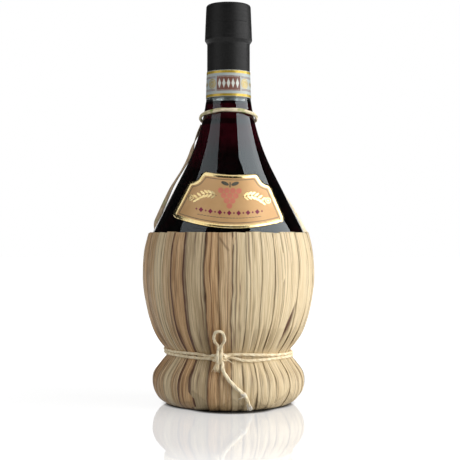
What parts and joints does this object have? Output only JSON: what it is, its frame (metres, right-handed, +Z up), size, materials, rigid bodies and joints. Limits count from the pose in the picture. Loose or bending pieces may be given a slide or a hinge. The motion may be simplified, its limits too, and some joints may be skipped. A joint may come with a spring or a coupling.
{
  "type": "wine flask",
  "caption": "Round-bodied glass wine flask with a corked and capped neck, standing in a skirt of straw blades tied at the waist with a cord, with a straw carrying ring and straps.",
  "frame": {"origin": "centre of the foot on the surface that the flask stands on", "axes": "+Z up along the neck, -Y to the front with the label and the bow, +X to the right seen from the front"},
  "size_m": [0.1093, 0.1092, 0.2538],
  "materials": {
    "glass": "polished",
    "wine": "gloss",
    "cork": "matte",
    "capsule": "matte",
    "band_paper": "matte",
    "label_paper": "satin",
    "twisted_straw": "matte",
    "foot_straw": "matte",
    "straw_cream": "satin",
    "straw_tan": "satin",
    "straw_green": "satin",
    "straw_brown": "satin",
    "cord": "matte",
    "thread": "matte"
  },
  "bodies": {
    "bottle": {"bow_loop": "cord", "capsule_sleeve": "capsule", "carry_strap_left": "twisted_straw", "carry_strap_right": "twisted_straw", "cord_stub": "cord", "cord_tail": "cord", "foot_ring": "foot_straw", "front_label": "label_paper", "glass_bottle": "glass", "neck_band": "band_paper", "neck_ring": "twisted_straw", "rim_hoop": "twisted_straw", "straw_blade_01": "straw_tan", "straw_blade_02": "straw_cream", "straw_blade_03": "straw_cream", "straw_blade_04": "straw_cream", "straw_blade_05": "straw_cream", "straw_blade_06": "straw_cream", "straw_blade_07": "straw_cream", "straw_blade_08": "straw_cream", "straw_blade_09": "straw_cream", "straw_blade_10": "straw_tan", "straw_blade_11": "straw_cream", "straw_blade_12": "straw_green", "straw_blade_13": "straw_tan", "straw_blade_14": "straw_brown", "straw_blade_15": "straw_cream", "straw_blade_16": "straw_tan", "straw_blade_17": "straw_green", "straw_blade_18": "straw_cream", "straw_blade_19": "straw_tan", "straw_blade_20": "straw_brown", "straw_blade_21": "straw_cream", "straw_blade_22": "straw_tan", "straw_blade_23": "straw_green", "straw_blade_24": "straw_tan", "straw_blade_25": "straw_cream", "straw_blade_26": "straw_brown", "straw_blade_27": "straw_tan", "straw_blade_28": "straw_brown", "straw_blade_29": "straw_tan", "straw_blade_30": "straw_cream", "straw_blade_31": "straw_tan", "straw_blade_32": "straw_brown", "straw_blade_33": "straw_green", "straw_blade_34": "straw_brown", "tail_tuft": "thread", "tail_whipping": "thread", "waist_cord": "cord", "waist_knot": "cord", "wine_fill": "wine"},
    "cork": {"cork_stopper": "cork"},
    "capsule": {"capsule_cap": "capsule", "capsule_disc": "capsule"}
  },
  "joints": [
    {"name": "cork_pull", "type": "slide", "parent": "bottle", "child": "cork", "axis": [0, 0, 1], "range_m": [0, 0.055]},
    {"name": "cap_lift", "type": "slide", "parent": "cork", "child": "capsule", "axis": [0, 0, 1], "range_m": [0, 0.02]}
  ]
}
